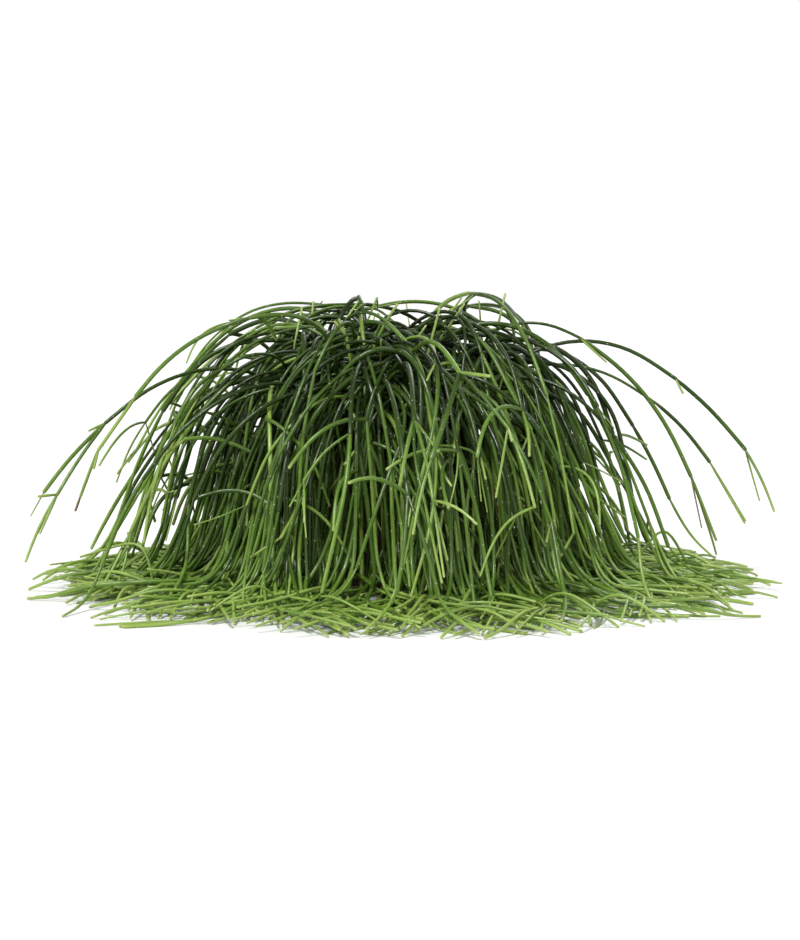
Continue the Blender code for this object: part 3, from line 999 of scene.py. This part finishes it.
def mix_material(name, mottle, tones, roughness):
    """A crumb of the potting mix: peat, bark or a pale granule, each with its own tone."""
    material, tree, shader = new_material(name)
    place = tree.nodes.new("ShaderNodeTexCoord").outputs["Object"]
    uneven = place_group(tree, mottle, [("Coordinates", place), ("Size", 320.0), ("Depth", 0.9)])["Value"]
    patches = noise_of(tree, place, 160.0, 4.0)
    colour = scaled_colour(tree, graded(tree, patches, [(0.35, tones[0]), (0.65, tones[1])]), uneven)
    tree.links.new(colour, shader.inputs["Base Color"])
    shader.inputs["Roughness"].default_value = roughness
    bump = add_node(tree, "ShaderNodeBump", [("Height", uneven), ("Strength", 0.8), ("Distance", 0.001)])
    tree.links.new(bump.outputs["Normal"], shader.inputs["Normal"])
    return material


def turned_mesh(name, profile, steps, cutters=None):
    """A mesh turned round the pot's axis from a profile of (radius, height), less what the cutters take."""
    mesh = bpy.data.meshes.new(name)
    points = [(radius, 0, height) for radius, height in profile]
    mesh.from_pydata(points, [(n, n + 1) for n in range(len(points) - 1)], [])
    obj = bpy.data.objects.new(name, mesh)
    bpy.context.scene.collection.objects.link(obj)
    screw = obj.modifiers.new("turn", "SCREW")
    screw.steps = screw.render_steps = steps
    screw.use_merge_vertices = True
    screw.merge_threshold = WELD
    if cutters is not None:
        cut = obj.modifiers.new("holes", "BOOLEAN")
        cut.operand_type = "COLLECTION"
        cut.collection = cutters
    bpy.context.view_layer.update()
    turned = bpy.data.meshes.new_from_object(obj.evaluated_get(bpy.context.evaluated_depsgraph_get()))
    bpy.data.objects.remove(obj)
    shape = bmesh.new()
    shape.from_mesh(turned)
    bmesh.ops.recalc_face_normals(shape, faces=shape.faces)
    shape.to_mesh(turned)
    shape.free()
    return turned


def drain_cutters():
    """A round cutter for each drainage hole, in a collection of their own."""
    cutters = bpy.data.collections.new("drain_cutters")
    bpy.context.scene.collection.children.link(cutters)
    for n in range(DRAIN_HOLES):
        spot = Matrix.Rotation(n * math.tau / DRAIN_HOLES, 3, "Z") @ Vector((DRAIN_CIRCLE, 0, POT_FLOOR / 2))
        shape = bmesh.new()
        size = {"radius1": DRAIN_RADIUS, "radius2": DRAIN_RADIUS, "depth": 3 * POT_FLOOR}
        bmesh.ops.create_cone(shape, cap_ends=True, segments=DRAIN_SIDES, **size)
        bmesh.ops.translate(shape, vec=spot, verts=shape.verts)
        mesh = bpy.data.meshes.new("drain_cutter")
        shape.to_mesh(mesh)
        shape.free()
        cutters.objects.link(bpy.data.objects.new("drain_cutter", mesh))
    return cutters


def make_pot(material):
    """The pot again, round and with soft edges."""
    under_collar = POT_HEIGHT - COLLAR_HEIGHT
    wall_top = RIM_RADIUS - COLLAR_STEP
    wall_foot = EDGE * 2
    soft = EDGE / 2
    rim = [
        (RIM_RADIUS - POT_WALL + soft / 2, POT_HEIGHT - soft / 4),
        (RIM_RADIUS - EDGE, POT_HEIGHT),
        (RIM_RADIUS - soft, POT_HEIGHT - soft / 4),
        (RIM_RADIUS - soft / 4, POT_HEIGHT - soft),
        (RIM_RADIUS, POT_HEIGHT - EDGE * 1.5),
        (RIM_RADIUS - soft / 2, POT_HEIGHT - COLLAR_HEIGHT / 2),
        (RIM_RADIUS - soft, under_collar + soft),
        (RIM_RADIUS - EDGE * 0.7, under_collar + soft / 4),
        (RIM_RADIUS - EDGE, under_collar),
        (wall_top + soft, under_collar),
        (wall_top, under_collar - soft),
    ]
    foot = [
        (BASE_RADIUS, wall_foot),
        (BASE_RADIUS - soft / 2, EDGE),
        (BASE_RADIUS - EDGE, soft / 2),
        (BASE_RADIUS - EDGE * 2, 0),
        (0, 0),
    ]
    inside = [
        (0, POT_FLOOR),
        (BASE_RADIUS - POT_WALL - EDGE, POT_FLOOR),
        (BASE_RADIUS - POT_WALL, POT_FLOOR + EDGE),
        (wall_top - POT_WALL, under_collar),
        (RIM_RADIUS - POT_WALL - EDGE, POT_HEIGHT - EDGE),
    ]
    profile = rim + foot + inside
    cutters = drain_cutters()
    shell = turned_mesh("pot_shell", profile + profile[:1], POT_STEPS, cutters)
    for cutter in list(cutters.objects):
        bpy.data.objects.remove(cutter)
    bpy.data.collections.remove(cutters)
    shell.shade_smooth()
    shell.set_sharp_from_angle(angle=math.radians(SHARP_ANGLE))
    piece("pot_shell", shell, material, "pot_plastic", "pot")


def lumps(centres, sizes, stretch, rng):
    """A mesh of small irregular lumps, one at each centre."""
    shape = bmesh.new()
    for centre, size in zip(centres, sizes):
        made = bmesh.ops.create_icosphere(shape, subdivisions=1, radius=size)
        axis = Vector((rng.gauss(0, 1), rng.gauss(0, 1), 1)).normalized()
        turn = Matrix.Rotation(rng.uniform(0, math.tau), 3, axis)
        flat = Vector((1, rng.uniform(*stretch), rng.uniform(*stretch)))
        for vertex in made["verts"]:
            uneven = 1 + rng.uniform(-LUMP_UNEVEN, LUMP_UNEVEN)
            vertex.co = centre + turn @ Vector(a * b * uneven for a, b in zip(vertex.co, flat))
    mesh = bpy.data.meshes.new("lumps")
    shape.to_mesh(mesh)
    shape.free()
    return mesh


def mix_height(x, y):
    """The height of the mix's surface: a low mound with small rises and dips."""
    mound = MIX_MOUND * max(0, 1 - (math.hypot(x, y) / MIX_EDGE) ** 2)
    rises = [rise * noise.noise(Vector((x, y, n)) * scale) for n, (rise, scale) in enumerate(MIX_RISES)]
    return MIX_LEVEL + mound + sum(rises)


def scattered(count, smallest, largest, rng):
    """Places on the mix's surface, and a size for each."""
    centres, sizes = [], []
    for _ in range(count):
        radius, angle = CRUMB_EDGE * math.sqrt(rng.random()), rng.uniform(0, math.tau)
        x, y = radius * math.cos(angle), radius * math.sin(angle)
        sizes.append(rng.uniform(smallest, largest))
        centres.append(Vector((x, y, mix_height(x, y) + sizes[-1] * CRUMB_PROUD)))
    return centres, sizes


def make_mix(mottle):
    """The potting mix: an uneven surface that fills the pot, with peat, bark and pale granules on it."""
    peat = mix_material("dark_peat", mottle, PEAT, 0.95)
    bark = mix_material("bark_chip", mottle, BARK, 0.85)
    stone = mix_material("pale_granule", mottle, GRANULES, 0.9)
    profile = [(MIX_EDGE * n / MIX_FINE_RINGS, MIX_LEVEL) for n in range(MIX_FINE_RINGS + 1)]
    profile += [(MIX_FOOT, MIX_LEVEL - MIX_DEPTH), (0, MIX_LEVEL - MIX_DEPTH)]
    surface = turned_mesh("mix_surface", profile, MIX_FINE_STEPS)
    for vertex in surface.vertices:
        if vertex.co.z > MIX_LEVEL - EDGE:
            vertex.co.z = mix_height(vertex.co.x, vertex.co.y)
    surface.shade_smooth()
    piece("mix_surface", surface, peat, "potting_mix", "potting_mix")
    rng = random.Random(CRUMB_SEED)
    for name, material in (("peat_crumbs", peat), ("bark_chips", bark), ("pale_granules", stone)):
        count, smallest, largest, stretch = CRUMBS[name]
        centres, sizes = scattered(count, smallest, largest, rng)
        piece(name, lumps(centres, sizes, stretch, rng), material, "potting_mix")


def make_stems(mottle):
    """One piece for the stems of each spray, and one for all their areoles."""
    thicket = Thicket()
    firsts = grown_plant(thicket)
    skin = stem_material(mottle)
    areoles = ([], [])
    rng = random.Random(FORM_SEED)
    for spray, stems in enumerate(thickened(firsts, thicket)):
        tubes = Tubes()
        for stem in stems:
            add_stem(tubes, areoles, stem, rng)
        name = f"spray_{spray + 1:02d}"
        piece(name + "_stems", tubes.to_mesh(name + "_stems"), skin, "stem_green", name)
    dots = bpy.data.meshes.new("areoles")
    dots.from_pydata(areoles[0], [], areoles[1])
    dots.shade_smooth()
    piece("areoles", dots, wool_material(), "stem_green")


def make_floor():
    """A wide pale floor, with very soft tones."""
    material, tree, shader = new_material("pale_floor")
    place = tree.nodes.new("ShaderNodeTexCoord").outputs["Object"]
    tones = graded(tree, noise_of(tree, place, 3.0, 3.0), [(0.3, FLOOR_TONES[0]), (0.7, FLOOR_TONES[1])])
    tree.links.new(tones, shader.inputs["Base Color"])
    shader.inputs["Roughness"].default_value = 0.8
    shape = bmesh.new()
    bmesh.ops.create_circle(shape, cap_ends=True, segments=FLOOR_SIDES, radius=FLOOR_RADIUS)
    mesh = bpy.data.meshes.new("floor")
    shape.to_mesh(mesh)
    shape.free()
    mesh.materials.append(material)
    floor = bpy.data.objects.new("floor", mesh)
    bpy.context.scene.collection.objects.link(floor)


def make_surround():
    """A white surround, which is less bright as a light than as it is seen."""
    scene = bpy.context.scene
    scene.view_settings.view_transform = "Standard"
    scene.world = bpy.data.worlds.new("studio")
    scene.world.use_nodes = True
    surround = scene.world.node_tree
    seen = surround.nodes.new("ShaderNodeLightPath").outputs["Is Camera Ray"]
    strength = mapped(surround, seen, 0.0, 1.0, SURROUND_LIGHT, SURROUND_SEEN)
    background = surround.nodes["Background"]
    background.inputs["Color"].default_value = (1, 1, 1, 1)
    surround.links.new(strength, background.inputs["Strength"])


def make_lights():
    """Soft light from above the front, and a little from each side and the back."""
    for name, source, strength, width in LIGHTS:
        data = bpy.data.lights.new(name, "SUN")
        data.energy = strength
        data.angle = math.radians(width)
        light = bpy.data.objects.new(name, data)
        light.rotation_mode = "QUATERNION"
        light.rotation_quaternion = Vector(source).to_track_quat("Z", "Y")
        bpy.context.scene.collection.objects.link(light)


def make_camera():
    """The camera of the photo: nearly level with the plant, a few metres away."""
    data = bpy.data.cameras.new("camera")
    data.lens = CAMERA_LENS
    data.sensor_width = CAMERA_SENSOR
    camera = bpy.data.objects.new("camera", data)
    elevation = math.radians(CAMERA_ELEVATION)
    back = Vector((0, -math.cos(elevation), math.sin(elevation)))
    camera.location = Vector(CAMERA_TARGET) + back * CAMERA_DISTANCE
    camera.rotation_mode = "QUATERNION"
    camera.rotation_quaternion = back.to_track_quat("Z", "Y")
    bpy.context.scene.collection.objects.link(camera)
    bpy.context.scene.camera = camera


make_camera()
make_floor()
make_surround()
make_lights()
mottle = mottle_group()
dust = dust_group()
make_pot(pot_material(mottle, dust))
make_mix(mottle)
make_stems(mottle)
